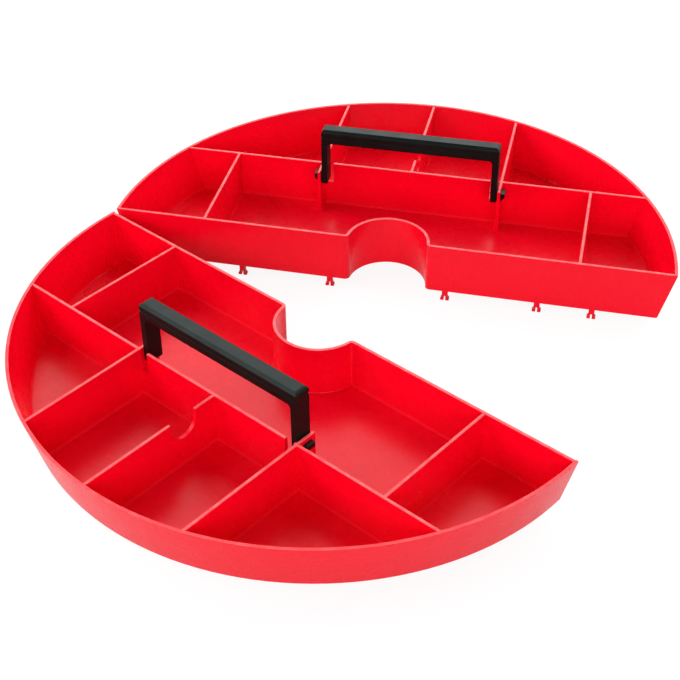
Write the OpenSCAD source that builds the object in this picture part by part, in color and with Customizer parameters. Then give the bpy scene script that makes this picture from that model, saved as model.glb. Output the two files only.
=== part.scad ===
// Round parts storage tray in two halves, each with compartments and a snap-in carry handle.
// The halves stand apart in a V, their left tips almost meeting. Closed up, they ring a column.
// One half is drawn with its straight wall on the X axis, the arc towards +Y and the underside at z = 0.

/* [Tray half] */
// Outer radius of the rim
rim_r = 187.5; // [160:0.5:220]
// How far the rim stands out past the base, all along the arc
rim_flare = 8.6; // [3:0.1:12]
// Height of the rim above the underside
tray_h = 35; // [32:0.5:45]
// Thickness of the walls and dividers at their top edge
wall_t = 2; // [1.6:0.1:2.6]
// How much thicker a wall grows on one side from its edge down to the floor
wall_draft = 0.4; // [0.2:0.05:0.8]
// Radius of the corners along the walls' flat top edges
edge_r = 0.4; // [0.2:0.05:0.7]
// Thickness of the floor
floor_t = 2; // [1.6:0.1:3]
// Radius of the fillets between walls and floor
fillet_r = 1.5; // [1:0.1:4]

/* [Column notch] */
// Radius of the half-round notch in the straight wall
notch_r = 26; // [22:0.5:36]
// Inner radius of the bends that lead the straight wall into the notch
bend_in_r = 0.8; // [0.4:0.1:2.5]
// How much prouder the notch's wall stands than the bends that run into it, on each side
notch_proud = 0.05; // [0.03:0.01:0.2]

/* [Dividers] */
// Distance of the long chord divider from the straight wall's face
chord_y = 89; // [80:0.5:96]
// Spacing of the cross dividers between the chord divider and the arc
cross_x = 63.8; // [56:0.2:70]
// Distance of the two front dividers from the middle
front_x = 125.8; // [112:0.2:136]
// Length of the ribs that carry the outer cross dividers past the chord divider
rib_len = 14; // [12.5:0.5:20]
// Step down from the rim to the straight wall, and on to each lower rank of divider
rank_step = 0.15; // [0.1:0.05:0.6]
// Width of the slots that end the chord divider beside the handle's legs
slot_w = 6.4; // [5.4:0.1:8]
// Depth of those slots below the divider's edge
slot_h = 15; // [12:0.5:18]

/* [Finger gap] */
// Width of the finger gap in the middle cross divider
finger_w = 19; // [14:0.5:24]
// Depth of the finger gap below the divider's edge
finger_depth = 14.5; // [11:0.5:20]
// Distance of the finger gap's middle from the chord divider
finger_y = 25.5; // [18:0.5:40]

/* [Handle] */
// Height of the handle's top above the rim
handle_rise = 32.6; // [26:0.1:50]
// Height of the grip bar
bar_h = 10; // [8.5:0.1:13]
// Depth of the handle from front to back
bar_d = 10.8; // [9:0.1:12]
// Bevel along the upper edges of the grip bar
bar_bevel = 1.8; // [1:0.1:2.4]
// Width of a leg where it leaves the grip bar
leg_w = 4.4; // [3.8:0.1:6]
// Width that a leg loses on its inner side down to its foot
leg_taper = 0.3; // [0.1:0.1:0.8]
// Distance of the legs' feet below the rim
foot_drop = 9.8; // [9:0.1:14]
// Radius of the bends between bar and legs, outside
corner_r = 2.6; // [1:0.1:4]
// Radius of the bends between bar and legs, inside
inner_corner_r = 2.4; // [1:0.1:4]
// Gap between the handle's back and the chord divider
handle_set = 0.8; // [0.4:0.1:1.2]
// Height of the shadow groove along each side of the bar
groove_h = 1.6; // [1:0.1:2.4]
// Depth of the shadow groove
groove_t = 0.7; // [0.3:0.1:1]
// Distance of the shadow groove below the handle's top
groove_drop = 5; // [4:0.1:7]

/* [Handle core] */
// Skin left round the hollow in the bar's underside
skin_t = 2.2; // [1.8:0.1:2.6]
// Depth of the hollow above the bar's underside
core_h = 6; // [4:0.1:7]
// Number of cross webs that stiffen the hollow
core_webs = 7; // [3:1:11]
// Thickness of a cross web
web_t = 1.6; // [1.2:0.1:2.4]

/* [Snap lugs] */
// Height of a lug
lug_h = 6.2; // [5:0.1:7]
// Depth of a lug from front to back
lug_d = 6.6; // [5:0.1:7.4]
// How far a lug stands out past its rib
lug_out = 2.4; // [1.6:0.1:4]
// Slope cut off the lug's lower corner, so that it cams into its window
lug_slope = 2.8; // [1.6:0.1:4]
// Clearance between the handle and what it snaps into
snap_gap = 0.3; // [0.15:0.05:0.5]

/* [Pegs] */
// Length of the split pegs below the underside
peg_len = 8; // [6:0.5:12]
// Width of a peg's stem
peg_w = 3.8; // [3.4:0.1:5]
// Thickness of a peg
peg_t = 3; // [2.4:0.1:4]
// How far a toe stands out past the stem
toe_out = 1; // [0.5:0.1:1.4]
// Height of the toes
toe_h = 2.6; // [1.8:0.1:3.2]
// Width of the slit that splits a peg
slit_w = 1.2; // [0.8:0.1:1.6]
// Height of the slit
slit_h = 3; // [2.5:0.1:6]
// Distance of the straight wall's pegs behind its face
peg_set = 1; // [0.5:0.1:3]
// Distances of the straight wall's pegs from the middle
peg_x1 = 39.5; // [38:0.5:60]
// Second pair
peg_x2 = 101; // [80:0.5:110]
// Third pair
peg_x3 = 137; // [125:0.5:145]
// Distance of the arc's pegs inside the edge of the base
peg_inset = 16; // [12:0.5:30]
// Angle between neighbouring pegs of the arc
peg_step = 45; // [30:1:60]

/* [Pair] */
// Opening angle of the V between the straight walls
v_angle = 28.7; // [10:0.1:60]
// Distance of the rear half's left tip behind the front half's tip
tip_back = 3.6; // [3:0.1:20]
// Distance of the rear half's left tip outside the front half's tip
tip_out = 1.1; // [0:0.1:10]

/* [Hidden] */
tray_red = [0.90, 0.03, 0.07];
handle_black = [0.05, 0.05, 0.055];
$fn = 96;

// Steps that draw an edge's corner and a fillet in a wall's section
edge_steps = 3;
fillet_steps = 4;
// Room that a cut runs past what it cuts, and a wall's end runs into its neighbour
past = 1;

// Distance of the floor's edge and of a fillet's root behind a wall's outer face
floor_root = wall_t;
foot_root = 0.7 * wall_t;
// How far a fillet is sunk into its wall and the floor
foot_sink = 0.1;
foot_out = fillet_r - foot_sink;

base_r = rim_r - rim_flare;
// Radius of the edge round the base
base_round = 0.6 * wall_t;
rim_lean = atan(rim_flare / (tray_h - edge_r));
wall_top = tray_h - rank_step;
chord_top = wall_top - rank_step;
cross_top = chord_top - rank_step;

// The bends' outer radius and axes, the angle that each cuts off the notch's half circle,
// and how far a bend runs on into the notch's wall
bend_r = bend_in_r + wall_t + wall_draft;
bend_axis_r = notch_r + notch_proud + bend_r;
bend_x = sqrt(pow(bend_axis_r, 2) - pow(bend_r, 2));
bend_angle = asin(bend_r / bend_axis_r);
bend_run = 5;

// The handle lies between the ribs, in front of the chord divider, its heights taken from the rim
handle_top = tray_h + handle_rise;
foot_z = tray_h - foot_drop;
rib_face_x = cross_x - wall_t / 2 - wall_draft;
rib_front_y = chord_y - rib_len;
handle_x = rib_face_x - snap_gap;
handle_back_y = chord_y - wall_t / 2 - wall_draft - handle_set;
handle_mid_y = handle_back_y - bar_d / 2;
bar_z = handle_top - bar_h;
lug_tip_x = cross_x + wall_t / 2 + wall_draft + lug_out;
core_w = bar_d - 2 * skin_t;
core_x = handle_x - leg_w - skin_t;
core_pitch = (2 * core_x + web_t) / (core_webs + 1);

// The pair's box, with the front half's disc centred on the first origin
rear_x = -rim_r - tip_out + rim_r * cos(v_angle);
rear_y = tip_back + rim_r * sin(v_angle);
pair_left = min(-rim_r, rear_x - rim_r);
pair_right = max(rim_r, rear_x + rim_r * cos(v_angle));
pair_front = -rim_r;
pair_back = rear_y + rim_r;
pair_mid = [(pair_left + pair_right) / 2, (pair_front + pair_back) / 2];

// Points along an arc round c, from one angle to another
function arc_points(c, r, from, to, steps) =
    [for (i = [0 : steps]) let (a = from + (to - from) * i / steps) c + r * [cos(a), sin(a)]];

// A flat top edge of the given thickness with round corners, from a wall's left face to its right
function edge_points(left, top, t = wall_t) = concat(
    arc_points([left + edge_r, top - edge_r], edge_r, 180, 90, edge_steps),
    arc_points([left + t - edge_r, top - edge_r], edge_r, 90, 0, edge_steps));

// A fillet from a face at x down to the floor, on the face's right
function foot_points(x, steps = fillet_steps) =
    arc_points([x + foot_out, floor_t + foot_out], fillet_r, 180, 270, steps);

function mirrored(points) = [for (i = [len(points) - 1 : -1 : 0]) [-points[i].x, points[i].y]];

// Section of a wall with a plain outer face at x = 0, or prouder than that all round
module wall_section(top, proud = 0) {
    inner_x = wall_t + wall_draft + proud;
    polygon(concat([[-proud, 0]], edge_points(-proud, top + proud, wall_t + 2 * proud), [[inner_x, 0]]));
}

// Section of the fillet at that wall's inner foot, rooted in the wall and the floor
module foot_section(steps = fillet_steps) {
    inner_x = wall_t + wall_draft;
    root = [foot_root, floor_t / 2];
    polygon(concat([root, [root.x, floor_t + foot_out]], foot_points(inner_x, steps),
        [[inner_x + foot_out, root.y]]));
}

// Section of a divider, with a fillet on each side and its root within the floor
module divider_section(top) {
    foot = foot_points(wall_t / 2 + wall_draft);
    foot_x = wall_t / 2 + wall_draft + foot_out;
    root_z = floor_t / 2;
    polygon(concat([[-foot_x, root_z]], mirrored(foot), edge_points(-wall_t / 2, top), foot,
        [[foot_x, root_z]]));
}

// Section of the floor and the flared wall along the arc
module arc_section() {
    fillet_z = floor_t + fillet_r;
    fillet_x = base_r + tan(rim_lean) * fillet_z - wall_t - fillet_r / cos(rim_lean);
    inner_x = notch_r + floor_root;
    round_x = base_r - base_round * tan(45 - rim_lean / 2);
    polygon(concat(
        [[inner_x, floor_t]],
        arc_points([fillet_x, fillet_z], fillet_r, -90, -rim_lean, fillet_steps),
        edge_points(rim_r - wall_t, tray_h),
        arc_points([round_x, base_round], base_round, -rim_lean, -90, fillet_steps),
        [[inner_x, 0]]));
}

// Everything inside the middle of the flared wall
module inside_rim() {
    mid_r = base_r - wall_t / 2;
    cylinder(h = tray_h, r1 = mid_r, r2 = mid_r + tan(rim_lean) * tray_h);
}

// A wall or divider of the given section along +X, standing on the floor
module along_x(from, to) {
    translate([from, 0, 0]) rotate([90, 0, 90]) linear_extrude(to - from) children();
}

// The same along +Y, with the section's right side towards +X
module along_y(from, to) {
    translate([0, to, 0]) rotate([90, 0, 0]) linear_extrude(to - from) children();
}

// The floor, with room cut for the bends at the notch
module floor_and_arc() {
    room_x = bend_x + wall_t / 2;
    difference() {
        rotate_extrude(angle = 180) arc_section();
        translate([-room_x, -past, -past])
            cube([2 * room_x, past + floor_root, floor_t + 2 * past]);
    }
}

// The left arm of the straight wall, its foot and the bend that leads it into the notch
module straight_arm() {
    intersection() {
        union() {
            along_x(-rim_r, -bend_x) wall_section(wall_top);
            along_x(-rim_r, -notch_r - foot_root) foot_section();
        }
        inside_rim();
    }
    translate([-bend_x, bend_r, 0]) rotate(270) rotate_extrude(angle = 90 - bend_angle + bend_run)
        translate([bend_r, 0]) mirror([1, 0]) wall_section(wall_top);
}

// The half ring round the notch, its foot running on into the straight wall
module notch_wall() {
    foot_angle = asin(foot_root / (notch_r + wall_t));
    rotate(bend_angle) rotate_extrude(angle = 180 - 2 * bend_angle)
        translate([notch_r + notch_proud, 0]) wall_section(wall_top, notch_proud);
    rotate(foot_angle) rotate_extrude(angle = 180 - 2 * foot_angle)
        translate([notch_r + notch_proud, 0]) foot_section(fillet_steps + 1);
}

module chord_divider() {
    intersection() {
        translate([0, chord_y, 0]) along_x(-rim_r, rim_r) divider_section(chord_top);
        inside_rim();
    }
}

// A cross divider from a start in front of or at the chord divider out to the arc
module cross_divider(x, start_y) {
    intersection() {
        translate([x, 0, 0]) along_y(start_y, rim_r) divider_section(cross_top);
        inside_rim();
    }
}

module front_divider(x) {
    translate([x, 0, 0]) along_y(wall_t / 2, chord_y) divider_section(cross_top);
}

// The round-bottomed gap in the middle cross divider
module finger_gap() {
    gap_r = finger_w / 2;
    bottom_z = cross_top - finger_depth;
    translate([0, chord_y + finger_y, bottom_z + gap_r]) rotate([0, 90, 0]) {
        cylinder(h = 2 * wall_t + 2 * wall_draft, r = gap_r, center = true);
        translate([-tray_h, -gap_r, -wall_t - wall_draft])
            cube([tray_h, finger_w, 2 * wall_t + 2 * wall_draft]);
    }
}

// The windows in the ribs that the handle's lugs snap into
module lug_windows() {
    depth = wall_t + 2 * wall_draft + 2 * past;
    for (side = [-1, 1])
        translate([side * cross_x, handle_mid_y, foot_z + lug_h / 2])
            cube([depth, lug_d + 2 * snap_gap, lug_h + 2 * snap_gap], center = true);
}

// The slots that end the chord divider beside the handle's legs
module leg_slots() {
    depth = wall_t + 2 * wall_draft + 2 * past;
    for (side = [-1, 1])
        translate([side * (rib_face_x - slot_w / 2), chord_y, chord_top - slot_h + tray_h / 2])
            cube([slot_w, depth, tray_h], center = true);
}

// A split peg that hangs from the floor, its thickness along +Y from y = 0
module peg() {
    stem = peg_w / 2;
    toe = stem + toe_out;
    translate([0, peg_t, 0]) rotate([90, 0, 0]) linear_extrude(peg_t) difference() {
        polygon([[-stem, floor_t / 2], [-stem, toe_h - peg_len], [-toe, toe_h / 2 - peg_len],
            [-toe, -peg_len], [toe, -peg_len], [toe, toe_h / 2 - peg_len], [stem, toe_h - peg_len],
            [stem, floor_t / 2]]);
        translate([-slit_w / 2, -peg_len - past]) square([slit_w, slit_h + past]);
        translate([0, slit_h - peg_len]) circle(d = slit_w);
    }
}

module pegs() {
    for (x = [peg_x1, peg_x2, peg_x3], side = [-1, 1])
        translate([side * x, peg_set, 0]) peg();
    for (turn = [-1 : 1])
        rotate(turn * peg_step) translate([0, base_r - peg_inset, 0]) peg();
}

module tray() {
    difference() {
        union() {
            floor_and_arc();
            straight_arm();
            mirror([1, 0, 0]) straight_arm();
            notch_wall();
            chord_divider();
            cross_divider(0, chord_y);
            for (side = [-1, 1]) {
                cross_divider(side * cross_x, rib_front_y);
                front_divider(side * front_x);
            }
            pegs();
        }
        finger_gap();
        leg_slots();
        lug_windows();
    }
}

// Front outline of the handle: a bar on two legs that taper on their inner sides
module handle_outline() {
    difference() {
        union() {
            translate([-handle_x, foot_z]) square([2 * handle_x, handle_top - foot_z - corner_r]);
            translate([corner_r - handle_x, foot_z])
                square([2 * (handle_x - corner_r), handle_top - foot_z]);
            for (side = [-1, 1])
                translate([side * (handle_x - corner_r), handle_top - corner_r]) circle(corner_r);
        }
        grip_opening();
    }
}

// The space between the legs, under the bar
module grip_opening() {
    top_x = handle_x - leg_w;
    foot_x = top_x + leg_taper;
    corner_x = top_x - inner_corner_r;
    polygon(concat([[-foot_x, foot_z - past], [foot_x, foot_z - past]],
        arc_points([corner_x, bar_z - inner_corner_r], inner_corner_r, 0, 90, fillet_steps),
        arc_points([-corner_x, bar_z - inner_corner_r], inner_corner_r, 90, 180, fillet_steps)));
}

// End outline of the handle: bevelled upper edges and a shadow groove along each side
module handle_end() {
    half = bar_d / 2;
    groove_z = handle_top - groove_drop;
    difference() {
        polygon([[-half, foot_z], [half, foot_z], [half, handle_top - bar_bevel],
            [half - bar_bevel, handle_top], [bar_bevel - half, handle_top],
            [-half, handle_top - bar_bevel]]);
        for (side = [-1, 1])
            translate([side * half, groove_z])
                square([2 * groove_t, groove_h], center = true);
    }
}

// The hollow in the bar's underside, split by cross webs
module bar_core() {
    for (i = [0 : core_webs])
        translate([i * core_pitch - core_x, handle_mid_y - core_w / 2, bar_z - past])
            cube([core_pitch - web_t, core_w, core_h + past]);
}

// A lug on the right leg, flat on top to carry the load and sloped below to snap in
module lug() {
    tip_slope = min(lug_slope, lug_h - past);
    root_x = handle_x - leg_w / 2;
    translate([0, handle_mid_y + lug_d / 2, 0]) rotate([90, 0, 0]) linear_extrude(lug_d)
        polygon([[root_x, foot_z], [lug_tip_x - tip_slope, foot_z], [lug_tip_x, foot_z + tip_slope],
            [lug_tip_x, foot_z + lug_h], [root_x, foot_z + lug_h]]);
}

module handle() {
    difference() {
        intersection() {
            translate([0, handle_back_y, 0]) rotate([90, 0, 0]) linear_extrude(bar_d) handle_outline();
            translate([0, handle_mid_y, 0]) along_x(-handle_x - past, handle_x + past) handle_end();
        }
        bar_core();
    }
    lug();
    mirror([1, 0, 0]) lug();
}

// The front half, its arc towards the viewer
module place_front() {
    translate([-pair_mid.x, -pair_mid.y, peg_len]) rotate(180) children();
}

// The rear half, turned by the V
module place_rear() {
    translate([rear_x - pair_mid.x, rear_y - pair_mid.y, peg_len]) rotate(v_angle) children();
}

module front_tray() { color(tray_red) place_front() tray(); }
module front_handle() { color(handle_black) place_front() handle(); }
module rear_tray() { color(tray_red) place_rear() tray(); }
module rear_handle() { color(handle_black) place_rear() handle(); }

front_tray();
front_handle();
rear_tray();
rear_handle();
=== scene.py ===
# %% [markdown]
# # Round parts storage tray
# Two red half-disc trays with compartments close round a column to make one round tray. Here they
# stand apart in a V, and each carries a black U-shaped handle that snaps into two of its ribs.
# The solids come from the CAD model. This lesson gives them soft moulded edges, plastics that
# catch the light, a pale floor and a camera at the photograph's angle.

import math

import bmesh
import bpy
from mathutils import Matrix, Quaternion, Vector


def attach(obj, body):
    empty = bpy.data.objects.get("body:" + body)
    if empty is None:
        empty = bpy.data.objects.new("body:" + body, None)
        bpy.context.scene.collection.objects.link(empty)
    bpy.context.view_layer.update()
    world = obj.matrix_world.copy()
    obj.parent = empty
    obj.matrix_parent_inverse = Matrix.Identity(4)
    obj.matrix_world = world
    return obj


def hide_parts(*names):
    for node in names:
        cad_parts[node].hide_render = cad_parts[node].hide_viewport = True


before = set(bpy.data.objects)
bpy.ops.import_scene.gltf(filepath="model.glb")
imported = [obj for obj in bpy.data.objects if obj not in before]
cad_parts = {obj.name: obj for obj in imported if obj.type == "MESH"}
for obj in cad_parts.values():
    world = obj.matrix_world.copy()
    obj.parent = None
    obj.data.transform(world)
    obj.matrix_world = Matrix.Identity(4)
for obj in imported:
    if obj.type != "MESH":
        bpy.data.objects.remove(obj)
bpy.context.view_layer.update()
MM = 0.001
HALVES = ("front", "rear")

# %% [markdown]
# ## Camera
# The photograph was taken from well above the trays with a medium telephoto lens. The trays'
# outlines and their dividers' top edges, matched to the model, give the place and the focal length.
# An aim point and a tracking quaternion turn that into a camera with no guessing of Euler angles.

# %% Place the camera
CAMERA_AT = Vector((459.29, -530.85, 550.52)) * MM
CAMERA_AIM = Vector((4.35, -18.99, 8.0)) * MM
CAMERA_ROLL = math.radians(-0.47)
# In millimetres, as Blender's camera takes them
SENSOR_WIDTH = 36.0
FOCAL_LENGTH = 72.51

camera_data = bpy.data.cameras.new("photo_camera")
camera_data.sensor_width = SENSOR_WIDTH
camera_data.lens = FOCAL_LENGTH
camera = bpy.data.objects.new("photo_camera", camera_data)
camera.location = CAMERA_AT
aimed = (CAMERA_AIM - CAMERA_AT).to_track_quat("-Z", "Y")
camera.rotation_euler = (aimed @ Quaternion((0, 0, 1), CAMERA_ROLL)).to_euler()
bpy.context.scene.collection.objects.link(camera)
bpy.context.scene.camera = camera
print("camera to aim point, mm:", round((CAMERA_AIM - CAMERA_AT).length / MM))

# %% [markdown]
# ## Node helpers
# Shader and geometry trees are both lists of nodes and links, so one small function serves both.
# It makes a node, sets its options, and fills each input with a plain value or with another
# node's output. Colours are written as the sRGB hex values that a paint chart would give.

# %% Helpers for node trees and colours
def add_node(tree, kind, inputs=None, **options):
    node = tree.nodes.new(kind)
    for name, value in options.items():
        setattr(node, name, value)
    for key, value in (inputs or {}).items():
        if isinstance(value, bpy.types.NodeSocket):
            tree.links.new(value, node.inputs[key])
        else:
            node.inputs[key].default_value = value
    return node


def linear(hex_code):
    channels = [int(hex_code[i:i + 2], 16) / 255 for i in (1, 3, 5)]
    curve = [c / 12.92 if c <= 0.04045 else ((c + 0.055) / 1.055) ** 2.4 for c in channels]
    return (*curve, 1.0)


def per_size(size_mm):
    """Texture scale whose features are about this many millimetres across."""
    return 1 / (size_mm * MM)


def new_material(name):
    material = bpy.data.materials.new(name)
    material.use_nodes = True
    material.node_tree.nodes.clear()
    return material, material.node_tree


TRAY_RED = "#E8001E"
print("the trays' red in linear light:", [round(c, 3) for c in linear(TRAY_RED)])

# %% [markdown]
# ## Red polypropylene
# The trays are injection moulded from red polypropylene in a polished mould. The eye gets a deep,
# even red, a pale sheen where a surface is seen at a flat angle, and very soft ripples in that
# sheen, because thin walls shrink unevenly as they cool. The red drifts slightly along the
# plastic's flow. An image could hold all this, but noise on Object coordinates needs no unwrapping.
# A polishing stone can't reach down into the mould's corners, so the fillets at the walls' feet are
# duller. The flat top edges get a painted highlight: their red is mixed towards a pale pink in
# patches. The mesh will mark both with attributes, and the material reads them.

# %% Make the red polypropylene
INNER_CORNER = "inner_corner"
TOP_EDGE = "top_edge"
FLOW_RED = "#F00224"
# Pale pink of the painted highlight on the top edges
PAINTED_HIGHLIGHT_RED = "#FF7C7C"
# Widths in millimetres
FLOW_CLOUD = 70
HIGHLIGHT_PATCH = 6
RIPPLE = 9
DRAWN_GRAIN = 0.8
# Roughness of the walls, from the best polish to the poorest, and of the fillets
POLISH_BEST = 0.26
POLISH_POOREST = 0.30
FILLET_ROUGHNESS = 0.8
# Most of a noise texture's values lie between these two
NOISE_LOW = 0.3
NOISE_HIGH = 0.7


def red_polypropylene():
    material, tree = new_material("red_polypropylene_polished_mould")
    place = add_node(tree, "ShaderNodeTexCoord").outputs["Object"]
    # Flow of the melt: broad clouds, about as wide as a compartment
    flow = add_node(tree, "ShaderNodeTexNoise",
                    {"Vector": place, "Scale": per_size(FLOW_CLOUD), "Detail": 2.0, "Roughness": 0.5})
    # A Mix node has sockets for each kind of data: 2 and 3 take numbers, 6 and 7 take colours
    red = add_node(tree, "ShaderNodeMix",
                   {"Factor": flow.outputs["Fac"], 6: linear(TRAY_RED), 7: linear(FLOW_RED)},
                   data_type="RGBA")
    # A painted highlight pales the top edges in patches
    edge = add_node(tree, "ShaderNodeAttribute", attribute_name=TOP_EDGE)
    highlight_patches = add_node(tree, "ShaderNodeTexNoise",
                       {"Vector": place, "Scale": per_size(HIGHLIGHT_PATCH), "Detail": 2.0,
                        "Roughness": 0.5})
    painted_highlight = add_node(tree, "ShaderNodeMath",
                      {0: edge.outputs["Fac"], 1: highlight_patches.outputs["Fac"]}, operation="MULTIPLY")
    colour = add_node(tree, "ShaderNodeMix",
                      {"Factor": painted_highlight.outputs["Value"], 6: red.outputs[2], 7: linear(PAINTED_HIGHLIGHT_RED)},
                      data_type="RGBA")
    # Shrinkage ripples: a few hundredths of a millimetre high
    ripple = add_node(tree, "ShaderNodeTexNoise",
                      {"Vector": place, "Scale": per_size(RIPPLE), "Detail": 1.0, "Roughness": 0.4})
    # The polish drifts with the ripples, because shrinking plastic lifts off the mould there
    polish = add_node(tree, "ShaderNodeMapRange",
                      {"Value": ripple.outputs["Fac"], "From Min": NOISE_LOW, "From Max": NOISE_HIGH,
                       "To Min": POLISH_BEST, "To Max": POLISH_POOREST})
    # The mould's polish leaves a skin of grain near 0.1 mm, drawn coarser so that it shows
    skin = add_node(tree, "ShaderNodeTexNoise",
                    {"Vector": place, "Scale": per_size(DRAWN_GRAIN), "Detail": 2.0,
                     "Roughness": 0.6})
    # The fillets keep the mould's tool marks and are nearly matt
    corner = add_node(tree, "ShaderNodeAttribute", attribute_name=INNER_CORNER)
    dulled = add_node(tree, "ShaderNodeMix",
                      {0: corner.outputs["Fac"], 2: polish.outputs["Result"], 3: FILLET_ROUGHNESS},
                      data_type="FLOAT")
    rippled = add_node(tree, "ShaderNodeBump",
                       {"Height": ripple.outputs["Fac"], "Strength": 0.5, "Distance": 0.03 * MM})
    grained = add_node(tree, "ShaderNodeBump",
                       {"Height": skin.outputs["Fac"], "Normal": rippled.outputs["Normal"],
                        "Strength": 0.3, "Distance": 0.002 * MM})
    plastic = add_node(tree, "ShaderNodeBsdfPrincipled",
                       {"Base Color": colour.outputs[2], "Roughness": dulled.outputs[0],
                        "IOR": 1.49, "Specular IOR Level": 0.2, "Normal": grained.outputs["Normal"]})
    add_node(tree, "ShaderNodeOutputMaterial", {"Surface": plastic.outputs["BSDF"]})
    return material


tray_finish = red_polypropylene()
print("made", tray_finish.name, "with", len(tray_finish.node_tree.nodes), "nodes")

# %% [markdown]
# ## Black handle plastic
# The handles are moulded from black ABS in a mould with a spark-eroded skin. They look near black
# and satin: tiny pits scatter the light, so the upper faces turn a cool dark grey under a bright
# room while the lower ones stay black. Pits for the bump and a broader noise for the gloss keep it
# from looking like painted rubber.

# %% Make the black handle plastic
HANDLE_BLACK = "#050808"
PATCH_BLACK = "#090D0D"
COOL_SHEEN = "#CBEAE2"
# Widths in millimetres
DRAWN_PIT = 0.7
GLOSS_PATCH = 12
# Roughness of the satin, from its glossiest patches to its dullest
SATIN_GLOSSY = 0.36
SATIN_DULL = 0.48


def black_abs():
    material, tree = new_material("black_abs_spark_eroded_mould")
    place = add_node(tree, "ShaderNodeTexCoord").outputs["Object"]
    # Spark-eroded pits are about 0.15 mm wide, drawn wider so that they show
    pits = add_node(tree, "ShaderNodeTexVoronoi",
                    {"Vector": place, "Scale": per_size(DRAWN_PIT), "Randomness": 1.0})
    # Gloss drifts in patches where hands and the mould's vents have polished it
    patch = add_node(tree, "ShaderNodeTexNoise",
                     {"Vector": place, "Scale": per_size(GLOSS_PATCH), "Detail": 3.0,
                      "Roughness": 0.6})
    grey = add_node(tree, "ShaderNodeMix",
                    {"Factor": patch.outputs["Fac"], 6: linear(HANDLE_BLACK),
                     7: linear(PATCH_BLACK)}, data_type="RGBA")
    gloss = add_node(tree, "ShaderNodeMapRange",
                     {"Value": patch.outputs["Fac"], "From Min": NOISE_LOW, "From Max": NOISE_HIGH,
                      "To Min": SATIN_GLOSSY, "To Max": SATIN_DULL})
    pitted = add_node(tree, "ShaderNodeBump",
                      {"Height": pits.outputs["Distance"], "Strength": 0.35,
                       "Distance": 0.03 * MM})
    plastic = add_node(tree, "ShaderNodeBsdfPrincipled",
                       {"Base Color": grey.outputs[2], "Roughness": gloss.outputs["Result"],
                        "IOR": 1.53, "Specular IOR Level": 0.2, "Specular Tint": linear(COOL_SHEEN),
                        "Normal": pitted.outputs["Normal"]})
    add_node(tree, "ShaderNodeOutputMaterial", {"Surface": plastic.outputs["BSDF"]})
    return material


handle_finish = black_abs()
print("made", handle_finish.name, "with", len(handle_finish.node_tree.nodes), "nodes")

# %% [markdown]
# ## Crisp and soft edges
# No edge of a moulding is truly sharp: the mould's own corners are worn to a small radius, and that
# radius is what draws a bright line along every edge. A Bevel can round them, but its narrow faces
# and the curved walls need smooth shading, and other edges must stay crisp. Shading by hand would be
# lost at the next change of size, so a small Geometry Nodes tree sets it from the angle at each edge.

# %% Build the tree that keeps edges crisp
def crisp_edge_tree():
    tree = bpy.data.node_groups.new("crisp_edges", "GeometryNodeTree")
    sockets = tree.interface
    sockets.new_socket("Geometry", in_out="INPUT", socket_type="NodeSocketGeometry")
    angle = sockets.new_socket("Crisp angle", in_out="INPUT", socket_type="NodeSocketFloat")
    finish = sockets.new_socket("Finish", in_out="INPUT", socket_type="NodeSocketMaterial")
    sockets.new_socket("Geometry", in_out="OUTPUT", socket_type="NodeSocketGeometry")
    given = add_node(tree, "NodeGroupInput").outputs
    fold = add_node(tree, "GeometryNodeInputMeshEdgeAngle")
    crisp = add_node(tree, "FunctionNodeCompare",
                     {0: fold.outputs["Unsigned Angle"], 1: given["Crisp angle"]},
                     data_type="FLOAT", operation="GREATER_THAN")
    round_faces = add_node(tree, "GeometryNodeSetShadeSmooth",
                           {"Geometry": given["Geometry"], "Shade Smooth": True}, domain="FACE")
    split_edges = add_node(tree, "GeometryNodeSetShadeSmooth",
                           {"Geometry": round_faces.outputs["Geometry"],
                            "Selection": crisp.outputs["Result"], "Shade Smooth": False},
                           domain="EDGE")
    real = add_node(tree, "GeometryNodeRealizeInstances",
                    {"Geometry": split_edges.outputs["Geometry"]})
    coated = add_node(tree, "GeometryNodeSetMaterial",
                      {"Geometry": real.outputs["Geometry"], "Material": given["Finish"]})
    add_node(tree, "NodeGroupOutput", {"Geometry": coated.outputs["Geometry"]})
    return tree, angle.identifier, finish.identifier


CRISP_TREE, CRISP_ANGLE, CRISP_FINISH = crisp_edge_tree()
print("made", CRISP_TREE.name, "with", len(CRISP_TREE.nodes), "nodes")

# %% [markdown]
# ## Marks for the red finish
# The red finish has to know where the fillets and the flat top edges are: it dulls the fillets and
# paints a highlight on the top edges. Both are narrow faces. A fillet's strips meet their neighbours
# at hollow angles, and a top edge faces up close below the piece's highest point. Each such face
# gets a number, which the material reads as an attribute.

# %% Mark the fillets and the top edges
HOLLOW = math.radians(3)
FILLET_STRIP = 1.0 * MM
TOP_STRIP = 2.5 * MM
TOP_DEPTH = 1.5 * MM
# A face looks up if its normal rises at least this much
UPWARD = 0.5
# The arc's rim, over half a metre round its edge, gets a weaker painted highlight than the dividers
ARC_EDGE = 500 * MM
ARC_HIGHLIGHT = 0.4


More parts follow.
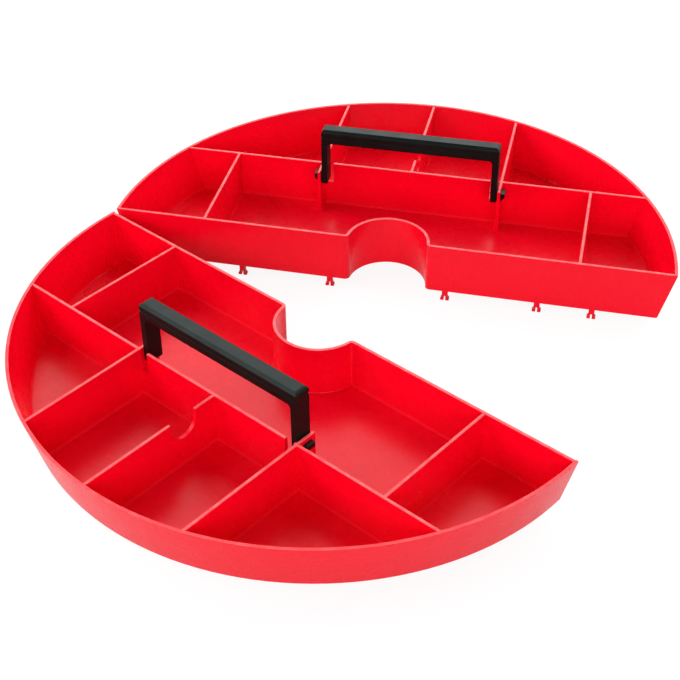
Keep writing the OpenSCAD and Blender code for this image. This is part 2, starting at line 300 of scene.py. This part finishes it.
def mark_strips(shape):
    """Marks the fillets, which meet their neighbours at hollow angles, and the flat top edges, which
    get a painted highlight.
    """
    shape.normal_update()
    fillet = shape.faces.layers.float.new(INNER_CORNER)
    top_edge = shape.faces.layers.float.new(TOP_EDGE)
    top = max(vert.co.z for vert in shape.verts)
    for face in shape.faces:
        length = face.calc_perimeter()
        width = 2 * face.calc_area() / length
        hollow = [edge for edge in face.edges if edge.calc_face_angle_signed(0.0) < -HOLLOW]
        high = face.calc_center_median().z > top - TOP_DEPTH and face.normal.z > UPWARD
        face[fillet] = float(width < FILLET_STRIP and len(hollow) > 1)
        if width < TOP_STRIP and high:
            face[top_edge] = ARC_HIGHLIGHT if length > ARC_EDGE else 1.0
    marked = [sum(face[layer] > 0 for face in shape.faces) for layer in (fillet, top_edge)]
    print("fillet strips and top edges:", marked)


print("fillet strips are narrower than", FILLET_STRIP / MM, "mm, top edges than", TOP_STRIP / MM, "mm")

# %% [markdown]
# ## From the CAD mesh to a moulding
# The CAD mesh is loose triangles, so a copy is welded and its flat triangles are joined to whole
# faces. Then a Bevel rounds the edges that are still sharp, the tree sets shading and finish, and
# weighted normals keep the big faces flat. The result becomes a plain mesh, with no modifier left.

# %% Weld a copy of a CAD node
WELD = 0.002 * MM
FLAT = math.radians(0.4)


def welded_copy(node_name):
    shape = bmesh.new()
    shape.from_mesh(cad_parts[node_name].data)
    bmesh.ops.remove_doubles(shape, verts=shape.verts, dist=WELD)
    bmesh.ops.dissolve_limit(shape, angle_limit=FLAT, verts=shape.verts, edges=shape.edges,
                             use_dissolve_boundaries=False, delimit=set())
    mark_strips(shape)
    mesh = bpy.data.meshes.new(node_name + "_welded")
    shape.to_mesh(mesh)
    shape.free()
    return mesh


print("corners closer than", WELD / MM, "mm become one")

# %% Bevel and finish a piece
BEVEL_SEGMENTS = 2


def applied(piece):
    """Turns a piece with its modifiers into a plain mesh of its own."""
    scene_graph = bpy.context.evaluated_depsgraph_get()
    mesh = bpy.data.meshes.new_from_object(piece.evaluated_get(scene_graph))
    piece.modifiers.clear()
    piece.data = mesh


def moulded_piece(node_name, piece_name, finish, edge_mm, bevel_above, crisp_above):
    piece = bpy.data.objects.new(piece_name, welded_copy(node_name))
    bpy.context.scene.collection.objects.link(piece)
    bevel = piece.modifiers.new("soft_edges", "BEVEL")
    bevel.width = edge_mm * MM
    bevel.segments = BEVEL_SEGMENTS
    bevel.limit_method = "ANGLE"
    bevel.angle_limit = math.radians(bevel_above)
    bevel.use_clamp_overlap = True
    crisp = piece.modifiers.new("crisp_edges", "NODES")
    crisp.node_group = CRISP_TREE
    crisp[CRISP_ANGLE] = math.radians(crisp_above)
    crisp[CRISP_FINISH] = finish
    flat_faces = piece.modifiers.new("flat_faces", "WEIGHTED_NORMAL")
    flat_faces.keep_sharp = True
    applied(piece)
    print(piece_name, "faces:", len(piece.data.polygons), "materials:", len(piece.data.materials))
    return piece


print("a softened edge has", BEVEL_SEGMENTS, "facets")

# %% [markdown]
# ## The two trays
# Each tray is one moulding: floor, flared arc wall, straight wall with its half-round notch, and
# dividers on small fillets, with split pegs below. The CAD solid already has the flat top edges
# with their small corner radii, and the fillets, so only the other edges are softened, by a quarter
# of a millimetre.

# %% Make the trays
for half in HALVES:
    tray = moulded_piece(half + "_tray", half + "_tray_moulding", tray_finish,
                         edge_mm=0.25, bevel_above=40, crisp_above=40)
    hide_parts(half + "_tray")
    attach(tray, half + "_half")

# %% [markdown]
# ## The two handles
# A handle is a grip bar on two legs, with bevelled upper edges, a shadow groove along each side, a
# cored underside and a snap lug on each leg. Its edges are a little softer than the trays', because
# a hand closes round them.

# %% Make the handles
for half in HALVES:
    handle = moulded_piece(half + "_handle", half + "_handle_moulding", handle_finish,
                           edge_mm=0.4, bevel_above=30, crisp_above=50)
    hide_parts(half + "_handle")
    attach(handle, half + "_half")

# %% [markdown]
# ## Floor
# The photograph shows the trays on plain white. A brighter lamp would bleach the red as well, so the
# floor glows where the camera sees it, and more weakly where the plastic mirrors it. Light Path tells
# the two kinds of ray apart. The rest of the floor is pale paint, which keeps a faint shadow below
# the trays.

# %% Lay the floor
FLOOR_REACH = 4.0
FLOOR_PAINT = "#DCDCDC"
WHITE = "#FFFFFF"
FLOOR_GLOW = 1.12


def ray_share(tree, seen, mirrored):
    """How far a surface turns to plain white: one share where it is seen, one where it is mirrored."""
    path = add_node(tree, "ShaderNodeLightPath").outputs
    direct = add_node(tree, "ShaderNodeMath",
                      {0: path["Is Camera Ray"], 1: path["Is Transmission Ray"]},
                      operation="MAXIMUM")
    glossy = add_node(tree, "ShaderNodeMath", {0: path["Is Glossy Ray"], 1: mirrored},
                      operation="MULTIPLY")
    return add_node(tree, "ShaderNodeMath",
                    {0: direct.outputs["Value"], 1: seen, 2: glossy.outputs["Value"]},
                    operation="MULTIPLY_ADD").outputs["Value"]


def pale_floor():
    material, tree = new_material("pale_studio_floor")
    paint = add_node(tree, "ShaderNodeBsdfDiffuse", {"Color": linear(FLOOR_PAINT)})
    glow = add_node(tree, "ShaderNodeEmission",
                    {"Color": linear(WHITE), "Strength": FLOOR_GLOW})
    mixed = add_node(tree, "ShaderNodeMixShader",
                     {"Fac": ray_share(tree, seen=0.8, mirrored=0.5), 1: paint.outputs["BSDF"],
                      2: glow.outputs["Emission"]})
    add_node(tree, "ShaderNodeOutputMaterial", {"Surface": mixed.outputs["Shader"]})
    return material


floor_mesh = bpy.data.meshes.new("studio_floor")
floor_mesh.from_pydata([(x * FLOOR_REACH, y * FLOOR_REACH, 0.0)
                        for x, y in ((-1, -1), (1, -1), (1, 1), (-1, 1))], [], [(0, 1, 2, 3)])
floor = bpy.data.objects.new("studio_floor", floor_mesh)
floor.data.materials.append(pale_floor())
bpy.context.scene.collection.objects.link(floor)
print("floor reaches", FLOOR_REACH, "m each way")

# %% [markdown]
# ## Studio light
# In the photograph the upright walls are brighter than the compartments' floors, so the light comes
# from low down, all round. The world is a white light tent, dim overhead, and three softboxes stand
# round it. The wide one behind also mirrors itself in the flat top edges.

# %% Hang the light tent
SIDE_LIGHT = 0.18
TOP_SHARE = 0.25
# Heights in the sky, from 0 at the horizon to 1 overhead, between which the tent dims
SHOULDER = 0.60
CROWN = 0.90

world = bpy.data.worlds.new("white_light_tent")
world.use_nodes = True
bpy.context.scene.world = world
sky = world.node_tree
sky.nodes.clear()
aim = add_node(sky, "ShaderNodeTexCoord").outputs["Generated"]
height = add_node(sky, "ShaderNodeSeparateXYZ", {"Vector": aim}).outputs["Z"]
dimming = add_node(sky, "ShaderNodeMapRange",
                   {"Value": height, "From Min": SHOULDER, "From Max": CROWN, "To Min": 1.0,
                    "To Max": TOP_SHARE}, interpolation_type="SMOOTHSTEP")
level = add_node(sky, "ShaderNodeMapRange",
                 {"Value": ray_share(sky, seen=1.0, mirrored=0.6), "To Min": SIDE_LIGHT, "To Max": 1.0})
strength = add_node(sky, "ShaderNodeMath",
                    {0: dimming.outputs["Result"], 1: level.outputs["Result"]},
                    operation="MULTIPLY")
tent = add_node(sky, "ShaderNodeBackground",
                {"Color": linear(WHITE), "Strength": strength.outputs["Value"]})
add_node(sky, "ShaderNodeOutputWorld", {"Surface": tent.outputs["Background"]})
print("made", world.name, "with", len(sky.nodes), "nodes")

# %% Stand the softboxes round it
LAMP_DISTANCE = 2.4


def soft_lamp(name, azimuth, elevation, width, tall, watts):
    """A softbox aimed at the trays, sizes in metres. Azimuth turns from -Y towards +X."""
    lamp_data = bpy.data.lights.new(name, "AREA")
    lamp_data.shape = "RECTANGLE"
    lamp_data.size = width
    lamp_data.size_y = tall
    lamp_data.energy = watts
    lamp = bpy.data.objects.new(name, lamp_data)
    turn, lift = math.radians(azimuth), math.radians(elevation)
    towards = Vector((math.sin(turn) * math.cos(lift), -math.cos(turn) * math.cos(lift),
                      math.sin(lift)))
    lamp.location = towards * LAMP_DISTANCE
    lamp.rotation_euler = towards.to_track_quat("Z", "Y").to_euler()
    bpy.context.scene.collection.objects.link(lamp)


soft_lamp("back_softbox", azimuth=195, elevation=42, width=4.6, tall=2.4, watts=92)
soft_lamp("left_softbox", azimuth=305, elevation=34, width=2.4, tall=1.4, watts=42)
soft_lamp("right_softbox", azimuth=42, elevation=24, width=2.8, tall=1.1, watts=43)
bpy.context.scene.view_settings.view_transform = "Standard"
